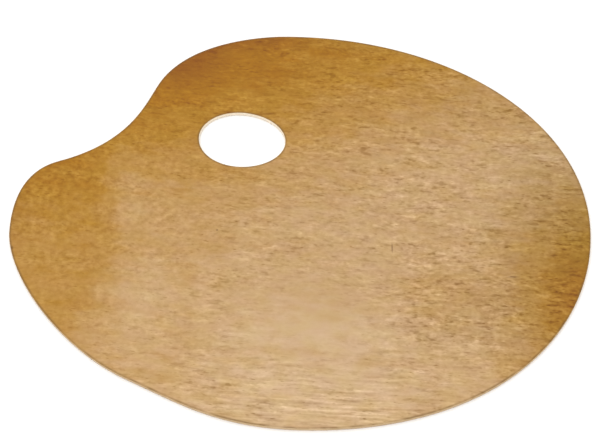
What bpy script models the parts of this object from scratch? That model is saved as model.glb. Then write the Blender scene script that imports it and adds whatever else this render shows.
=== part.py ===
"""A painter's mixing palette: a thin kidney-shaped board of three-ply wood with an oval thumb hole.

Run it with: blender --background --python part.py

Metres, +Z up. The board lies flat with its underside on Z = 0 and its length along X, and the middle of
its bounding box stands over the origin. The finger notch and the thumb hole are on the -X, +Y side.

The plywood is modelled as it is laid up in the press: two outer veneers, a thicker core whose grain runs
across theirs, and a film of cured glue in each of the two joints.
"""

from math import cos, pi, radians, sin

import bmesh
import bpy
from mathutils import Matrix, Vector
from mathutils.geometry import interpolate_bezier

# Overall size of the board.
LENGTH = 0.400
WIDTH = 0.300

# Layers of the plywood.
VENEER_THICKNESS = 0.0009
CORE_THICKNESS = 0.0016
GLUE_THICKNESS = 0.0001
LAYER_CLEARANCE = 0.0001  # between a ply and the film of glue beside it

# Sanded rim, the same around the board and around the thumb hole.
RIM_RADIUS = 0.0007
RIM_FACETS = 2

# Thumb hole: an oval whose end beside the notch is a little blunter than the other end.
HOLE_LENGTH = 0.061
HOLE_WIDTH = 0.043
HOLE_TILT = radians(-5)
HOLE_BLUNTNESS = 0.04
HOLE_FROM_NOTCH = Vector((0.061, -0.046))  # its centre, from the upper end of the notch

# Outline, anticlockwise. Each point of it is (x, y) in half lengths and half widths from the middle, the
# heading of the edge in degrees, and how far the curve holds that heading before and after the point. The
# points that touch the bounding box head along its sides.
OUTLINE = {
    "top": ((-0.06, 1.0), 180, 0.59, 0.06),
    "notch_upper_end": ((-0.51, 0.73), 248, 0.27, 0.12),
    "notch_lower_end": ((-0.85, 0.31), 202, 0.27, 0.16),
    "left": ((-1.0, -0.05), 270, 0.07, 0.21),
    "flank": ((-0.57, -0.77), 328, 0.28, 0.22),
    "bottom": ((0.04, -1.0), 0, 0.29, 0.64),
    "right": ((1.0, -0.02), 90, 0.49, 0.57),
}

# Fineness of the curves.
OUTLINE_STEP = 0.005
HOLE_SIDES = 56
SMOOTH_BELOW = radians(20)  # edges that turn less than this are shaded smooth


def linear(red, green, blue):
    """The linear RGBA colour of an sRGB one given from 0 to 255."""
    shares = [channel / 255 for channel in (red, green, blue)]
    return [s / 12.92 if s <= 0.04045 else ((s + 0.055) / 1.055) ** 2.4 for s in shares] + [1.0]


def material(name, colour, roughness):
    made = bpy.data.materials.new(name)
    made.use_nodes = True
    made.diffuse_color = colour
    shader = made.node_tree.nodes["Principled BSDF"]
    shader.inputs["Base Color"].default_value = colour
    shader.inputs["Roughness"].default_value = roughness
    shader.inputs["Metallic"].default_value = 0.0
    return made


def on_board(x_share, y_share):
    """A point of the outline in metres."""
    return Vector((x_share * LENGTH / 2, y_share * WIDTH / 2))


def board_outline():
    """The board's outline, anticlockwise, at about one point every OUTLINE_STEP."""
    points = []
    anchors = list(OUTLINE.values())
    for here, following in zip(anchors, anchors[1:] + anchors[:1]):
        (x, y), heading, _, reach_after = here
        (next_x, next_y), next_heading, reach_before, _ = following
        start = on_board(x, y)
        end = on_board(next_x, next_y)
        turn, next_turn = radians(heading), radians(next_heading)
        leaving = start + on_board(reach_after * cos(turn), reach_after * sin(turn))
        arriving = end - on_board(reach_before * cos(next_turn), reach_before * sin(next_turn))
        span = (leaving - start).length + (arriving - leaving).length + (end - arriving).length
        steps = round(span / OUTLINE_STEP)
        points += interpolate_bezier(start, leaving, arriving, end, steps + 1)[:-1]
    return points


def thumb_hole():
    """The thumb hole's outline, anticlockwise."""
    centre = on_board(*OUTLINE["notch_upper_end"][0]) + HOLE_FROM_NOTCH
    tilt = Matrix.Rotation(HOLE_TILT, 2)
    points = []
    for side in range(HOLE_SIDES):
        angle = 2 * pi * side / HOLE_SIDES
        half_width = HOLE_WIDTH / 2 * (1 - HOLE_BLUNTNESS * cos(angle))
        points.append(centre + tilt @ Vector((HOLE_LENGTH / 2 * cos(angle), half_width * sin(angle))))
    return points


def moved_out(points, distance):
    """An anticlockwise outline with each point moved square to it, outwards where distance is positive."""
    moved = []
    for before, here, after in zip(points[-1:] + points[:-1], points, points[1:] + points[:1]):
        along = (after - before).normalized()
        moved.append(here + distance * Vector((along.y, -along.x)))
    return moved


def rim_profile(thickness, round_below, round_above):
    """(height, inset) up the rim of one layer, square or rounded at its lower and its upper face."""
    angles = [pi / 2 * facet / RIM_FACETS for facet in range(RIM_FACETS + 1)]
    rounding = [(RIM_RADIUS * (1 - cos(angle)), RIM_RADIUS * (1 - sin(angle))) for angle in angles]
    below = rounding if round_below else [(0.0, 0.0)]
    above = [(thickness - height, inset) for height, inset in reversed(rounding)]
    return below + (above if round_above else [(thickness, 0.0)])


def add_ring(bm, points, height):
    """The edges of one closed ring of points."""
    verts = [bm.verts.new((*point, height)) for point in points]
    return [bm.edges.new(pair) for pair in zip(verts, verts[1:] + verts[:1])]


def add_layer(name, bottom, thickness, finish, round_below=False, round_above=False):
    """One layer of the board: its two rims, and a flat face between them below and above."""
    bm = bmesh.new()
    outer_rings = []
    hole_rings = []
    for height, inset in rim_profile(thickness, round_below, round_above):
        outer_rings.append(add_ring(bm, moved_out(board_outline(), -inset), height))
        hole_rings.append(add_ring(bm, moved_out(thumb_hole(), inset), height))
    for rings in (outer_rings, hole_rings):
        for lower, upper in zip(rings, rings[1:]):
            bmesh.ops.bridge_loops(bm, edges=lower + upper)
    for level in (0, -1):
        bmesh.ops.triangle_fill(bm, use_beauty=True, edges=outer_rings[level] + hole_rings[level])
    bmesh.ops.recalc_face_normals(bm, faces=bm.faces)
    mesh = bpy.data.meshes.new(name)
    bm.to_mesh(mesh)
    bm.free()
    mesh.shade_smooth()
    mesh.set_sharp_from_angle(angle=SMOOTH_BELOW)
    mesh.materials.append(finish)
    layer = bpy.data.objects.new(name, mesh)
    layer.location.z = bottom
    bpy.context.collection.objects.link(layer)
    return layer


def main():
    for leftover in list(bpy.data.objects):
        bpy.data.objects.remove(leftover)

    palette = bpy.data.objects.new("palette", None)
    bpy.context.collection.objects.link(palette)

    varnished = material("varnished_veneer", linear(193, 153, 102), 0.42)
    core = material("core_wood", linear(203, 171, 124), 0.70)
    backing = material("varnished_back_veneer", linear(186, 144, 92), 0.50)
    glue = material("cured_glue", linear(92, 56, 30), 0.40)

    bottom = 0.0
    joint = GLUE_THICKNESS + 2 * LAYER_CLEARANCE
    layers = [add_layer("back_veneer", bottom, VENEER_THICKNESS, backing, round_below=True)]
    bottom += VENEER_THICKNESS
    layers.append(add_layer("lower_glue_line", bottom + LAYER_CLEARANCE, GLUE_THICKNESS, glue))
    bottom += joint
    layers.append(add_layer("core_veneer", bottom, CORE_THICKNESS, core))
    bottom += CORE_THICKNESS
    layers.append(add_layer("upper_glue_line", bottom + LAYER_CLEARANCE, GLUE_THICKNESS, glue))
    bottom += joint
    layers.append(add_layer("face_veneer", bottom, VENEER_THICKNESS, varnished, round_above=True))
    for layer in layers:
        layer.parent = palette


main()
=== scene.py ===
"""The looks of the mixing palette: a sanded three-ply board with amber varnish and small marks of use."""

from math import cos, exp, pi, radians, sin

import bmesh
import bpy
import numpy as np
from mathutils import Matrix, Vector, kdtree, noise
from mathutils.geometry import delaunay_2d_cdt, interpolate_bezier


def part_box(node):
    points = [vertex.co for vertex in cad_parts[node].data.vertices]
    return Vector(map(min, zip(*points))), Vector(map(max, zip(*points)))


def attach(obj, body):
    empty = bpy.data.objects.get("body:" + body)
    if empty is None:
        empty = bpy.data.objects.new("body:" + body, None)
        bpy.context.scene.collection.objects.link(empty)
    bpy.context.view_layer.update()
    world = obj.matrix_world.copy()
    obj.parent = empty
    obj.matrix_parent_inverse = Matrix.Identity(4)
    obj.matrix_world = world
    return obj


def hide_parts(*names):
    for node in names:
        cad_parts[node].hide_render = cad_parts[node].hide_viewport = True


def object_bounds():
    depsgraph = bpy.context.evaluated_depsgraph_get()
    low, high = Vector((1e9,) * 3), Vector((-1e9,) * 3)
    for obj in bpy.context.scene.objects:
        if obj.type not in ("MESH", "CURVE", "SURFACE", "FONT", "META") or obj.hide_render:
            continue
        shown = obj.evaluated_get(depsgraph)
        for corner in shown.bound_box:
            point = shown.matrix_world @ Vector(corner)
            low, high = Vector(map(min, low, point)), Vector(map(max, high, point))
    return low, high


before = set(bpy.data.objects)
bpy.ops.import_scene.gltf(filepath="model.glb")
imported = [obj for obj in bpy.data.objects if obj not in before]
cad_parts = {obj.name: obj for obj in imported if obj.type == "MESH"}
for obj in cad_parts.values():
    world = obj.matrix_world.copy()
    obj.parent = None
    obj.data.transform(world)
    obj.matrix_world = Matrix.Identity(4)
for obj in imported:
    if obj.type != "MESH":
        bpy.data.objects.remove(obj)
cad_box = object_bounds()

MM = 0.001

# The board, as the frame gives it.
LOW, HIGH = cad_box
HALF_LENGTH = (HIGH.x - LOW.x) / 2
HALF_WIDTH = (HIGH.y - LOW.y) / 2
THICKNESS = HIGH.z - LOW.z

# How finely the surfaces are meshed.
RIM_STEP = 1.0 * MM
FACE_STEP = 2.0 * MM
ROW_SHARE = 0.866  # the rows of the face's triangles stand this share of a step apart
FACE_CLEARANCE = 0.8 * MM  # between the face's inner points and its rounded rim
ROUNDING_STEPS = 6
SAME_POINT = 1e-6  # points nearer than this are one point
TRIANGULATION_TOLERANCE = 1e-7

# The sanded rim.
RIM_RADIUS = 0.7 * MM
RIM_WANDER = 0.10 * MM  # how unevenly the rim is sanded, always inwards
CORE_RECESS = 0.03 * MM  # the core and the glue sand away a little more than the veneers
GLUE_RECESS = 0.05 * MM
CLEAR_OF_BOX = 0.01 * MM

# The lie of the faces, always inwards.
WAVE_DEPTH = 0.06 * MM
RIDGE_DEPTH = 0.025 * MM
DUBBING_DEPTH = 0.10 * MM  # hand sanding lowers the face towards its rim
DUBBING_REACH = 3.0 * MM

GRAIN_TURN = radians(-4.5)  # the face grain runs slightly off the board's length

# The camera looks along +Y, well above the board.
CAMERA_ELEVATION = radians(64)
CAMERA_DISTANCE = 1.0374
CAMERA_LENS = 90
CAMERA_TARGET = Vector((0.0, 0.0026, THICKNESS / 2))

EYE_GAMMA = 2.2  # from light to lightness as it is seen
GRAIN_STRENGTH = 0.37
RIM_SHADE_REACH = 2.0 * MM  # how far the painted shade at a rim spreads onto the face
HOLE_REACH = (42, 34, 0.8)  # the place of the thumb hole: its reach in mm, and the share filled evenly


# ---------------------------------------------------------------- outline

def rim_loops(node):
    """The outer and the hole loop of a square-edged CAD layer, anticlockwise, as lists of 2-D points."""
    bm = bmesh.new()
    bm.from_mesh(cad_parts[node].data)
    bmesh.ops.remove_doubles(bm, verts=bm.verts, dist=SAME_POINT)
    top = max(v.co.z for v in bm.verts) - SAME_POINT
    walls = {f for f in bm.faces if abs(f.normal.z) < 0.5}
    beside = {}
    for edge in bm.edges:
        if all(v.co.z > top for v in edge.verts) and walls.intersection(edge.link_faces):
            a, b = edge.verts
            beside.setdefault(a, []).append(b)
            beside.setdefault(b, []).append(a)
    loops = []
    while beside:
        here = min(beside, key=lambda v: tuple(v.co))
        loop = []
        while here is not None:
            loop.append(here.co.xy.copy())
            ahead = [v for v in beside.pop(here) if v in beside]
            here = ahead[0] if ahead else None
        loops.append(loop)
    bm.free()
    loops.sort(key=lambda loop: -max(p.x for p in loop) + min(p.x for p in loop))
    return [loop if signed_area(loop) > 0 else loop[::-1] for loop in loops]


def signed_area(loop):
    return sum(a.cross(b) for a, b in zip(loop, loop[1:] + loop[:1])) / 2


def refined(loop, step):
    """A smooth closed curve through the loop's points, with a point about every step."""
    count = len(loop)
    points = []
    for i, here in enumerate(loop):
        before, following, after = loop[i - 1], loop[(i + 1) % count], loop[(i + 2) % count]
        span = (following - here).length
        leave = (following - before).normalized() * span / 3
        arrive = (after - here).normalized() * span / 3
        pieces = max(1, round(span / step))
        points += interpolate_bezier(here, here + leave, following - arrive, following, pieces + 1)[:-1]
    return [Vector(p[:2]) for p in points]


def normals_of(loop):
    """Outward unit normals of an anticlockwise loop."""
    result = []
    for before, after in zip(loop[-1:] + loop[:-1], loop[1:] + loop[:1]):
        along = (after - before).normalized()
        result.append(Vector((along.y, -along.x)))
    return result


def noise_at(x, y, seed, x_size, y_size):
    """Smooth noise from -1 to 1, with cells of the given size."""
    return noise.noise(Vector((x / x_size, y / y_size, seed)))


def wander(point):
    """How far the sanded rim stands in from the true outline near a point."""
    coarse = noise_at(point.x, point.y, 3.1, 30 * MM, 30 * MM)
    fine = noise_at(point.x, point.y, 7.7, 6 * MM, 6 * MM)
    return RIM_WANDER * (0.5 + 0.4 * coarse + 0.1 * fine) + CLEAR_OF_BOX


def inside(points, loop):
    """Which of an N x 2 array of points lie inside a loop."""
    x, y = points.T
    crossed = np.zeros(len(points), bool)
    for a, b in zip(loop, loop[1:] + loop[:1]):
        if a.y == b.y:
            continue
        spans = (a.y > y) != (b.y > y)
        crossed ^= spans & (x < a.x + (y - a.y) * (b.x - a.x) / (b.y - a.y))
    return crossed


# ---------------------------------------------------------------- layers

OUTER, HOLE = (refined(loop, RIM_STEP) for loop in rim_loops("core_veneer"))
OUTER_NORMALS, HOLE_NORMALS = normals_of(OUTER), normals_of(HOLE)

RIM_TREE = kdtree.KDTree(len(OUTER) + len(HOLE))
for index, rim_point in enumerate(OUTER + HOLE):
    RIM_TREE.insert((*rim_point, 0), index)
RIM_TREE.balance()


def rim_distance(x, y):
    return RIM_TREE.find((x, y, 0))[2]


def face_relief(x, y, seed):
    """How far a face of the board lies below flat at a point."""
    wave = WAVE_DEPTH * (0.5 + 0.5 * noise_at(x, y, seed, 90 * MM, 60 * MM))
    ridge = RIDGE_DEPTH * (0.5 + 0.5 * noise_at(x, y, seed + 5, 70 * MM, 6 * MM))
    dubbed = DUBBING_DEPTH * exp(-rim_distance(x, y) / DUBBING_REACH)
    return wave + ridge + dubbed + CLEAR_OF_BOX


def face_points():
    """Points of a triangular grid over the face, clear of its rims."""
    row_step = FACE_STEP * ROW_SHARE
    rows = int(2 * HALF_WIDTH / row_step)
    columns = int(2 * HALF_LENGTH / FACE_STEP)
    grid = [
        (LOW.x + (column + 0.5 * (row % 2)) * FACE_STEP, LOW.y + row * row_step)
        for row in range(rows + 1)
        for column in range(columns + 1)
    ]
    grid = np.array(grid)
    grid = grid[inside(grid, OUTER) & ~inside(grid, HOLE)]
    return [Vector(p) for p in grid if rim_distance(*p) > RIM_RADIUS + FACE_CLEARANCE]


FACE_POINTS = face_points()


class Layer:
    """One layer of the board: rings of points around both rims, and a triangulated face at each end."""

    STRIPS = 3  # the outer rim is folded this many times across the baked image
    STRIP_HEIGHT = 0.018
    FACE_START = 0.12  # the face fills the image above this height
    HIDDEN_PLACE = (0.70, 0.072)  # the corner and the size of the place of a face that never shows
    HIDDEN_SIZE = (0.28, 0.04)
    MARGIN = 0.004

    def __init__(self, name, body_node, material):
        self.name, self.body_node, self.material = name, body_node, material
        self.points, self.faces, self.places = [], [], []

    def band(self, lower, upper, share_low, share_high, row, turned_out):
        """Quads between two rings, and their strip of the baked image."""
        count = len(lower)
        strips = self.STRIPS if row == 0 else 1
        for i in range(count):
            j = (i + 1) % count
            strip = row * self.STRIPS + i * strips // count
            along = (i * strips / count) % 1
            ahead = along + strips / count
            base = self.MARGIN + strip * (self.STRIP_HEIGHT + self.MARGIN)
            low, high = (base + share * self.STRIP_HEIGHT for share in (share_low, share_high))
            corners = [(lower[i], (along, low)), (lower[j], (ahead, low)),
                       (upper[j], (ahead, high)), (upper[i], (along, high))]
            if not turned_out:
                corners.reverse()
            self.faces.append([corner[0] for corner in corners])
            self.places += [(self.MARGIN + u * (1 - 2 * self.MARGIN), v) for _, (u, v) in corners]

    def cap(self, outer, hole, points, height_of, upwards, shown):
        """A triangulated face between the rings, through the given inner points."""
        start = len(self.points)
        self.points += [(*p, height_of(*p)) for p in points]
        used = [*outer, *hole, *range(start, len(self.points))]
        flat = [Vector(self.points[k][:2]) for k in used]
        edges = [(k, (k + 1) % len(outer)) for k in range(len(outer))]
        first = len(outer)
        edges += [(first + k, first + (k + 1) % len(hole)) for k in range(len(hole))]
        found, _, triangles, original, _, _ = delaunay_2d_cdt(
            flat, edges, [], 0, TRIANGULATION_TOLERANCE)
        centres = np.array([sum((found[k] for k in tri), Vector((0, 0))) / 3 for tri in triangles])
        outer_loop = [flat[k] for k in range(len(outer))]
        hole_loop = [flat[first + k] for k in range(len(hole))]
        kept = inside(centres, outer_loop) & ~inside(centres, hole_loop)
        for triangle, keep in zip(triangles, kept):
            if not keep:
                continue
            corners = [used[original[k][0]] for k in triangle]
            if not upwards:
                corners.reverse()
            self.faces.append(corners)
            self.places += [self.face_place(*self.points[k][:2], shown) for k in corners]

    def face_place(self, x, y, shown):
        """Where a point of a face goes in the baked image: most of it, or a small corner for a hidden face."""
        u, v = (x - LOW.x) / (2 * HALF_LENGTH), (y - LOW.y) / (2 * HALF_WIDTH)
        if shown:
            face_height = 1 - self.MARGIN - self.FACE_START
            return self.MARGIN + u * (1 - 2 * self.MARGIN), self.FACE_START + v * face_height
        corner, size = self.HIDDEN_PLACE, self.HIDDEN_SIZE
        return corner[0] + u * size[0], corner[1] + v * size[1]

    def finish(self):
        mesh = bpy.data.meshes.new(self.name)
        mesh.from_pydata(self.points, [], self.faces)
        baked = mesh.uv_layers.new(name="OFBake")
        baked.data.foreach_set("uv", np.array(self.places, np.float32).ravel())
        rim = mesh.attributes.new("rim_distance", "FLOAT", "POINT")
        rim.data.foreach_set("value", [rim_distance(x, y) / MM for x, y, _ in self.points])
        mesh.shade_smooth()
        mesh.set_sharp_from_angle(angle=radians(50))
        mesh.materials.append(self.material.material)
        piece = bpy.data.objects.new(self.name, mesh)
        bpy.context.scene.collection.objects.link(piece)
        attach(piece, "root")
        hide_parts(self.body_node)
        return piece


def rounded_profile(low, high):
    """(height, inset) from the square edge of an outer veneer, up its rim and round onto the face at high."""
    side = 1 if high > low else -1
    turn_starts = high - side * RIM_RADIUS
    profile = [(low, 0.0), ((low + turn_starts) / 2, 0.0)]
    for step in range(ROUNDING_STEPS + 1):
        angle = pi / 2 * step / ROUNDING_STEPS
        profile.append((turn_starts + side * RIM_RADIUS * sin(angle), RIM_RADIUS * (1 - cos(angle))))
    return profile


def add_rims(layer, profile, recess, height_for):
    """Both rims of a layer through the profile; returns its outer and hole rings."""
    rings = {}
    for row, (loop, normals, sign) in enumerate(((OUTER, OUTER_NORMALS, -1), (HOLE, HOLE_NORMALS, 1))):
        insets = [wander(point) + recess for point in loop]
        rings[row] = []
        for height, inset in profile:
            start = len(layer.points)
            for point, normal, extra in zip(loop, normals, insets):
                moved = point + normal * sign * (inset + extra)
                layer.points.append((*moved, height_for(height, *moved)))
            rings[row].append(range(start, len(layer.points)))
        heights = [0.0]
        for (z_a, in_a), (z_b, in_b) in zip(profile, profile[1:]):
            heights.append(heights[-1] + Vector((z_b - z_a, in_b - in_a)).length)
        upwards = profile[-1][0] > profile[0][0]
        for k in range(len(profile) - 1):
            layer.band(rings[row][k], rings[row][k + 1], heights[k] / heights[-1],
                       heights[k + 1] / heights[-1], row, upwards == (row == 0))
    return rings


def add_veneer(name, node, material, seed):
    """An outer veneer: square where it meets the glue, rounded at its face, which has a real surface."""
    low, high = (corner.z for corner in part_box(node))
    outwards = 1 if high > THICKNESS / 2 else -1
    joint, face = (low, high) if outwards > 0 else (high, low)

    def height_for(height, x, y):
        share = (height - joint) / (face - joint)
        return height - outwards * share * face_relief(x, y, seed)

    layer = Layer(name, node, material)
    rings = add_rims(layer, rounded_profile(joint, face), 0.0, height_for)
    layer.cap(rings[0][0], rings[1][0], [], lambda x, y: joint, outwards < 0, False)
    layer.cap(rings[0][-1], rings[1][-1], FACE_POINTS, lambda x, y: height_for(face, x, y),
              outwards > 0, True)
    layer.finish()


def add_inner_layer(name, node, material, low, high, recess):
    """The core or a line of glue: it shows only at the rims."""
    layer = Layer(name, node, material)
    profile = [(low, 0.0), ((low + high) / 2, 0.0), (high, 0.0)]
    rings = add_rims(layer, profile, recess, lambda height, x, y: height)
    layer.cap(rings[0][0], rings[1][0], [], lambda x, y: low, False, False)
    layer.cap(rings[0][-1], rings[1][-1], [], lambda x, y: high, True, True)
    layer.finish()


# ---------------------------------------------------------------- materials

def linear(red, green, blue):
    """The linear RGBA colour of an sRGB one given from 0 to 255."""
    shares = [channel / 255 for channel in (red, green, blue)]
    return [s / 12.92 if s <= 0.04045 else ((s + 0.055) / 1.055) ** 2.4 for s in shares] + [1.0]


class Finish:
    """A material's node tree. A socket is fed a number, a colour, a vector or another node's output."""

    def __init__(self, name):
        self.material = bpy.data.materials.new(name)
        self.material.use_nodes = True
        self.tree = self.material.node_tree
        self.shader = self.tree.nodes["Principled BSDF"]

    def feed(self, socket, value):
        if isinstance(value, bpy.types.NodeSocket):
            self.tree.links.new(value, socket)
        else:
            socket.default_value = value

    def add(self, kind, inputs, output=0, **settings):
        node = self.tree.nodes.new(kind)
        for name, value in settings.items():
            setattr(node, name, value)
        for name, value in inputs.items():
            self.feed(node.inputs[name], value)
        return node.outputs[output]

    def math(self, operation, a, b=0.0, clamp=False):
        return self.add("ShaderNodeMath", {0: a, 1: b}, operation=operation, use_clamp=clamp)

    def vector(self, operation, a, b=(0, 0, 0), output=0):
        return self.add("ShaderNodeVectorMath", {0: a, 1: b}, output, operation=operation)

    def mix(self, share, a, b, blend="MIX"):
        inputs = {0: share, 6: a, 7: b}
        return self.add("ShaderNodeMix", inputs, 2, data_type="RGBA", blend_type=blend, clamp_factor=True)

    def range(self, value, low, high, to_low=0.0, to_high=1.0):
        inputs = {0: value, 1: low, 2: high, 3: to_low, 4: to_high}
        return self.add("ShaderNodeMapRange", inputs, interpolation_type="SMOOTHSTEP")

    def noise(self, vector, detail=2.0, roughness=0.5):
        inputs = {"Vector": vector, "Scale": 1.0, "Detail": detail, "Roughness": roughness}
        return self.add("ShaderNodeTexNoise", inputs)

    def lit(self, colour, change):
        """The colour made lighter or darker, by the same step to the eye in red, green and blue."""
        seen = self.add("ShaderNodeGamma", {"Color": colour, "Gamma": 1 / EYE_GAMMA})
        changed = self.vector("MAXIMUM", self.vector("ADD", seen, change), (0.01, 0.01, 0.01))
        return self.add("ShaderNodeGamma", {"Color": changed, "Gamma": EYE_GAMMA})

    def ramp(self, value, stops):
        node = self.tree.nodes.new("ShaderNodeValToRGB")
        ramp = node.color_ramp
        ramp.interpolation = "EASE"
        for extra in range(len(stops) - 2):
            ramp.elements.new(0.5)
        for element, (place, colour) in zip(ramp.elements, stops):
            element.position = place
            element.color = colour
        self.feed(node.inputs[0], value)
        return node.outputs[0]

    def point(self):
        """The point in the board's frame, in metres."""
        return self.add("ShaderNodeTexCoord", {}, output=3)

    def cells(self, point, x_mm, y_mm, z_mm, seed=0.0):
        """The point in cells of the given size, moved by a seed so that patterns don't share noise."""
        scaled = self.vector("MULTIPLY", point, [1 / (size * MM) for size in (x_mm, y_mm, z_mm)])
        return self.vector("ADD", scaled, (seed, seed * 1.7, seed * 0.6))


def patch(finish, point, x_share, y_share, x_mm, y_mm, full=0.0):
    """1 at a place on the board, given in half lengths and half widths, and within a share of its reaches
    along X and Y; it fades to 0 at the reaches."""
    centre = (x_share * HALF_LENGTH, y_share * HALF_WIDTH, 0)
    away = finish.vector("SUBTRACT", point, centre)
    shares = finish.vector("MULTIPLY", away, (1 / (x_mm * MM), 1 / (y_mm * MM), 0))
    distance = finish.vector("LENGTH", shares, output=1)
    return finish.range(distance, 1.0, full)


def total(finish, terms):
    """The sum of (amount, value) terms."""
    result = 0.0
    for amount, value in terms:
        result = finish.math("ADD", result, finish.math("MULTIPLY", value, amount))
    return result


def wood_coordinates(finish, turn, seed):
    """Coordinates whose X follows the grain, which turns a little and wavers."""
    point = finish.point()
    turned = finish.add(
        "ShaderNodeVectorRotate", {"Vector": point, "Angle": -turn}, rotation_type="Z_AXIS")
    sway = finish.noise(finish.cells(turned, 120, 45, 45, seed), 1.0)
    offset = finish.add("ShaderNodeCombineXYZ", {"Y": finish.math("MULTIPLY", sway, 9 * MM)})
    return point, finish.vector("ADD", turned, offset)


def at_hole(finish, point):
    """1 in the thumb hole and at its rim, and 0 at the rim of the board."""
    centre = sum(HOLE, Vector((0, 0))) / len(HOLE)
    return patch(finish, point, centre.x / HALF_LENGTH, centre.y / HALF_WIDTH, *HOLE_REACH)


def edge_wood(finish, point, figure):
    """Bare wood at the rim: handled around the board, and painted much paler in the thumb hole, for the bright
    light on the hole's wall.
    """
    handled = finish.ramp(figure, [(0.3, linear(172, 145, 106)), (0.7, linear(204, 176, 138))])
    hole_wall_painted_light = finish.ramp(figure, [(0.3, linear(222, 206, 180)), (0.7, linear(246, 236, 218))])
    return finish.mix(at_hole(finish, point), handled, hole_wall_painted_light)


def face_wood(name, seed, depth_at_rest, stains_and_haze, tanned_and_shaded_places, quiet_places, blotchy, combed, marks,
              rim_shade, roughness):
    """Varnished veneer with fine broken grain, pores and flecks, over patches of deeper and paler varnish;
    painted shade at the right-hand end and along the rim, and a partly painted reflection at the near middle.
    """
    f = Finish(name)
    point, grain = wood_coordinates(f, GRAIN_TURN, seed)

    # Broad colour: the depth of the varnish, pushed about by stains, clouds, mottling and bands of growth. One
    # pale place among the stains is partly a painted reflection.
    cloud = f.noise(f.cells(grain, 55, 28, 28, seed + 2), 3.0, 0.55)
    mottle = f.noise(f.cells(grain, 15, 8, 8, seed + 3), 2.0, 0.5)
    bands = f.noise(f.cells(grain, 170, 9, 9, seed + 4), 3.0, 0.55)
    depth = total(f, [(0.20, cloud), (0.28, mottle), (0.24, bands)])
    depth = f.math("ADD", depth, depth_at_rest - 0.36)
    for amount, *place in stains_and_haze:
        depth = f.math("ADD", depth, f.math("MULTIPLY", patch(f, point, *place), amount))
    colour = f.ramp(depth, VARNISH_DEPTHS)
    # Tanned places multiply the colour; the one at the right-hand end is painted shade.
    for amount, *place in tanned_and_shaded_places:
        colour = f.mix(patch(f, point, *place), colour, f.mix(1.0, colour, amount, "MULTIPLY"))
    blush = f.noise(f.cells(grain, 17, 10, 10, seed + 5), 1.0)
    ochre = f.mix(1.0, colour, (0.99, 1.0, 0.91, 1), "MULTIPLY")
    pink = f.mix(1.0, colour, (1.005, 0.99, 1.03, 1), "MULTIPLY")
    colour = f.mix(f.range(blush, 0.3, 0.7), ochre, pink)

    # Contrast of the fine grain: it comes and goes, and is lowest at the near middle, where the varnish is
    # worn smooth and a painted highlight washes the grain out.
    patches = f.noise(f.cells(grain, 34, 13, 13, seed + 7), 2.0, 0.5)
    contrast = f.range(patches, 0.32, 0.68, 0.65, 1.30)
    for amount, *place in quiet_places:
        hushed = f.math("SUBTRACT", 1.0, f.math("MULTIPLY", patch(f, point, *place), amount))
        contrast = f.math("MULTIPLY", contrast, hushed)

    # Fine broken grain, which gives way to blotches in one place and to long lines in another.
    fibres = f.noise(f.cells(grain, 10.0, 3.2, 3.2, seed + 6), 2.0, 0.5)
    threads = f.noise(f.cells(grain, 3.2, 2.3, 2.3, seed + 8), 1.0, 0.5)
    lines = f.noise(f.cells(grain, 26.0, 2.3, 2.3, seed + 13), 1.0, 0.5)
    dashes = f.noise(f.cells(grain, 7.0, 2.2, 2.2, seed + 10), 1.0, 0.5)
    dark_dashes = f.range(dashes, 0.57, 0.72)
    pale_dashes = f.range(dashes, 0.43, 0.28)
    blotches = f.noise(f.cells(grain, 4.6, 3.4, 3.4, seed + 9), 2.0, 0.6)
    figure = total(f, [(0.40, fibres), (0.36, threads), (-0.19, dark_dashes), (0.13, pale_dashes)])
    figure = f.math("ADD", figure, 0.135)
    lined = f.math("MULTIPLY", patch(f, point, *combed), 0.6)
    figure = f.add("ShaderNodeMix", {0: lined, 2: figure, 3: lines})
    figure = f.add("ShaderNodeMix", {0: patch(f, point, *blotchy), 2: figure, 3: blotches})
    lift = f.math("MULTIPLY", f.math("SUBTRACT", figure, 0.5), contrast)
    # Pores: short, narrow, dark. Flecks: shorter and pale.
    pore_noise = f.noise(f.cells(grain, 5.0, 0.8, 0.8, seed + 11), 1.0, 0.5)
    pores = f.math("MULTIPLY", f.range(pore_noise, 0.64, 0.76), contrast)
    fleck_noise = f.noise(f.cells(grain, 3.4, 1.8, 1.8, seed + 12), 1.0, 0.5)
    flecks = f.math("MULTIPLY", f.range(fleck_noise, 0.64, 0.80), contrast)
    colour = f.lit(colour, total(f, [(GRAIN_STRENGTH, lift), (-0.10, pores), (0.035, flecks)]))

    # Old marks: a scratch across the grain, a dark dash and two specks of dirt.
    for amount, *place in marks:
        mark = f.math("MULTIPLY", patch(f, point, *place), amount)
        colour = f.mix(mark, colour, linear(86, 52, 22))

    # Painted shade: the face is darkened along the rounded corner of the rim, where the edge turns from the
    # light, broken up by a noise. The side of the ply below it is bare pale wood.
    rim = f.add("ShaderNodeAttribute", {}, 2, attribute_name="rim_distance")
    rim_shade_breakup = f.noise(f.cells(point, 9, 9, 9, seed + 14), 2.0)
    near_rim = f.range(rim, RIM_SHADE_REACH / MM, RIM_RADIUS / MM)
    painted_rim_shade = f.math("MULTIPLY", near_rim, f.range(rim_shade_breakup, 0.3, 0.7, 0.4 * rim_shade, rim_shade))
    colour = f.mix(painted_rim_shade, colour, linear(104, 76, 36))
    height_above = f.add("ShaderNodeSeparateXYZ", {"Vector": point}, 2)
    from_middle = f.math("ABSOLUTE", f.math("SUBTRACT", height_above, THICKNESS / 2))
    bare = f.range(from_middle, THICKNESS / 2 - RIM_RADIUS * 0.25, THICKNESS / 2 - RIM_RADIUS * 0.8)
    colour = f.mix(bare, colour, edge_wood(f, point, figure))

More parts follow.
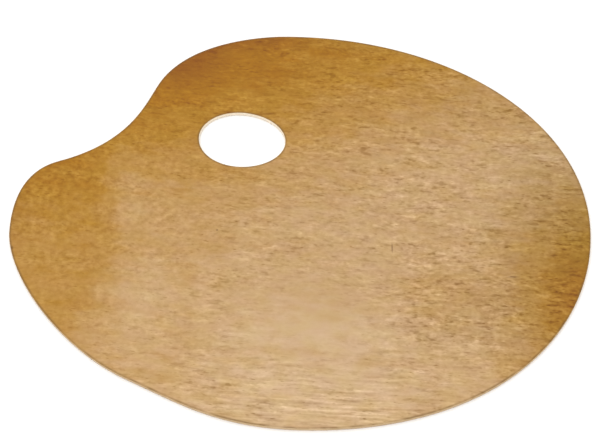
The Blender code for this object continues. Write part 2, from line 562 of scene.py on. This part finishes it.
    height = total(f, [(0.5, fibres), (0.4, threads), (-0.8, pores), (0.2, bands)])
    bump = f.add("ShaderNodeBump", {"Strength": 0.30, "Distance": 0.05 * MM, "Height": height})
    sheen = total(f, [(0.18, cloud), (-0.10, threads), (0.15, pores), (0.25, bare)])
    f.feed(f.shader.inputs["Base Color"], colour)
    f.feed(f.shader.inputs["Roughness"], f.math("ADD", sheen, roughness))
    f.feed(f.shader.inputs["Normal"], bump)
    f.shader.inputs["Specular IOR Level"].default_value = 0.2
    return f


def core_wood():
    """The core seen at the rim: grain along Y, so it shows ends of fibres on the long sides."""
    f = Finish("core_veneer_wood")
    point, grain = wood_coordinates(f, pi / 2, 31.0)
    fibres = f.noise(f.cells(grain, 12.0, 0.5, 0.35, 33.0), 3.0, 0.6)
    cloud = f.noise(f.cells(point, 22, 22, 8, 35.0), 2.0)
    pores = f.range(f.noise(f.cells(grain, 8.0, 0.3, 0.3, 37.0), 1.0), 0.60, 0.70)
    colour = edge_wood(f, point, total(f, [(0.7, fibres), (0.3, cloud)]))
    colour = f.mix(f.math("MULTIPLY", pores, 0.5), colour, linear(104, 72, 42))
    height = total(f, [(0.7, fibres), (-1.0, pores)])
    f.feed(f.shader.inputs["Base Color"], colour)
    f.feed(f.shader.inputs["Roughness"], f.math("ADD", f.math("MULTIPLY", fibres, 0.2), 0.55))
    f.feed(f.shader.inputs["Normal"], f.add(
        "ShaderNodeBump", {"Strength": 0.5, "Distance": 0.08 * MM, "Height": height}))
    return f


def glue():
    """Cured glue: a dark brown line, unevenly squeezed out."""
    f = Finish("cured_glue")
    point = f.point()
    beads = f.noise(f.cells(point, 3.0, 3.0, 0.6, 41.0), 3.0, 0.6)
    dark = f.ramp(beads, [
        (0.3, linear(120, 84, 50)), (0.5, linear(150, 112, 72)), (0.7, linear(178, 142, 100))])
    # Painted light: in the thumb hole the glue is painted much paler, for the bright light on the hole's wall.
    glue_painted_light_in_hole = f.ramp(beads, [(0.3, linear(178, 148, 110)), (0.7, linear(224, 204, 174))])
    colour = f.mix(at_hole(f, point), dark, glue_painted_light_in_hole)
    f.feed(f.shader.inputs["Base Color"], colour)
    f.feed(f.shader.inputs["Roughness"], f.range(beads, 0.3, 0.7, 0.3, 0.55))
    f.feed(f.shader.inputs["Normal"], f.add(
        "ShaderNodeBump", {"Strength": 0.4, "Distance": 0.03 * MM, "Height": beads}))
    return f


# The varnished veneer's colour from thin varnish to thick.
VARNISH_DEPTHS = [
    (0.0, linear(188, 157, 118)),
    (0.2, linear(179, 144, 99)),
    (0.4, linear(172, 133, 80)),
    (0.6, linear(165, 122, 56)),
    (0.8, linear(157, 111, 28)),
    (1.0, linear(148, 97, 4)),
]

# Places on a face: an amount, a centre in half lengths and half widths, a reach along X and Y in mm, and the
# share of the reach that the place fills evenly, if any. The amount of a tanned or shaded place is the colour
# that multiplies the varnish there. A place of blotches or lines has no amount.
FACE_STAINS_AND_HAZE = [
    (-0.36, 0.05, -0.83, 195, 160),  # pale at the near middle: partly worn varnish, partly a painted reflection of the light's haze
    (0.27, -0.95, -0.05, 78, 118, 0.6),  # the lobe below the notch
    (-0.12, -0.60, 0.08, 26, 55),  # paler beside the lobe
    (-0.12, -0.52, -0.40, 36, 44),
    (1.15, -2.10, 1.00, 850, 180),  # along the top, deepest beside the notch
    (0.60, 1.00, -0.35, 88, 130),  # the right-hand end
    (-0.21, 0.53, 0.33, 215, 125),  # worn pale, behind the middle
    (0.10, -0.38, 0.76, 46, 32),
    (0.13, 0.48, -0.40, 62, 42),
    (0.05, -0.41, -0.55, 32, 60),
    (0.07, -0.60, -0.12, 22, 30),  # streaks of haze that run back from the lobe
    (-0.05, -0.45, -0.10, 24, 16),
    (0.05, -0.40, -0.32, 18, 24),
    (-0.05, -0.20, -0.20, 34, 20),
    (-0.05, -0.56, -0.48, 20, 16),
    (0.06, -0.49, -0.50, 14, 18),
    (0.07, -0.42, -0.72, 20, 18),
    (-0.05, -0.65, 0.24, 14, 22),
]
FACE_TANS_AND_SHADE = [
    ((0.935, 0.94, 0.99, 1), 0.35, 0.0, 260, 240),
    ((0.82, 0.86, 0.90, 1), 1.00, -0.05, 100, 150),  # the right-hand end, darker and more olive: painted shade
    ((1.00, 0.92, 0.85, 1), 0.90, -0.38, 34, 50),
    ((0.93, 0.94, 0.97, 1), 0.65, -0.50, 75, 45),
    ((0.93, 0.94, 0.98, 1), 0.62, 0.62, 60, 42),
    ((1.00, 1.00, 0.80, 1), -0.38, 0.72, 75, 52),  # round the back of the thumb hole
    ((0.80, 0.68, 0.60, 1), -0.30, 1.00, 95, 20, 0.2),  # the far rim, where it was handled most
    ((0.76, 0.60, 0.58, 1), -0.44, 0.88, 50, 34, 0.1),
    ((0.86, 0.85, 0.80, 1), 0.30, 0.98, 50, 16),
    ((0.90, 0.85, 0.80, 1), -1.00, 0.05, 24, 50),
]
FACE_QUIET_PLACES = [
    # the near middle: worn smooth, and partly a painted highlight that washes the grain out
    (0.90, 0.05, -0.48, 90, 58),
    (0.40, -0.68, -0.20, 125, 150),
    (-0.40, 0.52, -0.50, 85, 55),  # the grain is stronger here, and along the near side
    (-0.45, 0.0, -1.0, 180, 50),
    (0.50, -0.30, 0.85, 140, 60),
    (0.15, 0.40, 0.60, 110, 60),
    (0.25, 0.05, 0.05, 110, 70),
]
FACE_BLOTCHES = (-0.70, 0.0, 130, 150)
FACE_LINES = (0.10, -1.0, 230, 105)
FACE_MARKS = [
    (0.60, 0.315, -0.14, 0.9, 5.5),  # a scratch across the grain
    (0.55, 0.72, -0.285, 5.5, 1.2),  # a dash along it
    (0.70, -0.285, -0.05, 1.3, 1.1),
    (0.70, -0.985, -0.14, 1.6, 2.2),
]
BACK_STAINS = [(0.25, 0.60, 0.30, 130, 110), (-0.15, -0.50, -0.50, 120, 100)]
BACK_QUIET_PLACES = [(0.30, 0.30, 0.20, 80, 60)]
BACK_BLOTCHES = (0.50, -0.50, 60, 60)
BACK_LINES = (-0.30, 0.60, 150, 80)


def make_pieces():
    face = face_wood("face_veneer_wood", 11.0, 0.38, FACE_STAINS_AND_HAZE, FACE_TANS_AND_SHADE, FACE_QUIET_PLACES,
                     FACE_BLOTCHES, FACE_LINES, FACE_MARKS, 0.66, 0.34)
    back = face_wood("back_veneer_wood", 61.0, 0.45, BACK_STAINS, [], BACK_QUIET_PLACES,
                     BACK_BLOTCHES, BACK_LINES, [], 0.20, 0.42)
    core, film = core_wood(), glue()
    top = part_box("face_veneer")
    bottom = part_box("back_veneer")
    core_low, core_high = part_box("core_veneer")
    add_veneer("face_veneer_wood", "face_veneer", face, 1.0)
    add_inner_layer("upper_glue", "upper_glue_line", film, core_high.z, top[0].z, GLUE_RECESS)
    add_inner_layer("core_wood", "core_veneer", core, core_low.z, core_high.z, CORE_RECESS)
    add_inner_layer(
        "lower_glue", "lower_glue_line", film, bottom[1].z, core_low.z, GLUE_RECESS)
    add_veneer("back_veneer_wood", "back_veneer", back, 2.0)


# ---------------------------------------------------------------- stage

def add_floor():
    mesh = bpy.data.meshes.new("floor")
    reach = 8.0
    mesh.from_pydata([(-reach, -reach, LOW.z), (reach, -reach, LOW.z), (reach, reach, LOW.z),
                      (-reach, reach, LOW.z)], [], [(0, 1, 2, 3)])
    floor = bpy.data.objects.new("floor", mesh)
    bpy.context.scene.collection.objects.link(floor)
    paper = Finish("white_paper")
    paper.shader.inputs["Base Color"].default_value = (0.93, 0.93, 0.93, 1)
    paper.shader.inputs["Roughness"].default_value = 0.9
    paper.shader.inputs["Specular IOR Level"].default_value = 0.0
    mesh.materials.append(paper.material)


def add_softbox(name, place, aim, width, height, power):
    light = bpy.data.lights.new(name, "AREA")
    light.shape = "RECTANGLE"
    light.size, light.size_y = width, height
    light.energy = power
    softbox = bpy.data.objects.new(name, light)
    softbox.location = place
    softbox.rotation_euler = (Vector(aim) - Vector(place)).to_track_quat("-Z", "Y").to_euler()
    bpy.context.scene.collection.objects.link(softbox)


def light_stage():
    world = bpy.data.worlds.new("studio")
    world.use_nodes = True
    world.node_tree.nodes["Background"].inputs["Color"].default_value = (1, 1, 1, 1)
    world.node_tree.nodes["Background"].inputs["Strength"].default_value = 1.15
    bpy.context.scene.world = world
    add_softbox("window", (0.03, 0.50, 1.6), (0, -0.1, 0), 0.8, 0.6, 2.5)
    add_softbox("overhead", (-0.9, -0.9, 1.9), (0, 0, 0), 1.5, 1.5, 8.0)
    bpy.context.scene.view_settings.view_transform = "Standard"


def add_camera():
    data = bpy.data.cameras.new("camera")
    data.lens = CAMERA_LENS
    camera = bpy.data.objects.new("camera", data)
    back = Vector((0, -cos(CAMERA_ELEVATION), sin(CAMERA_ELEVATION)))
    camera.location = CAMERA_TARGET + back * CAMERA_DISTANCE
    camera.rotation_euler = (-back).to_track_quat("-Z", "Y").to_euler()
    bpy.context.scene.collection.objects.link(camera)
    bpy.context.scene.camera = camera


add_camera()
make_pieces()
add_floor()
light_stage()
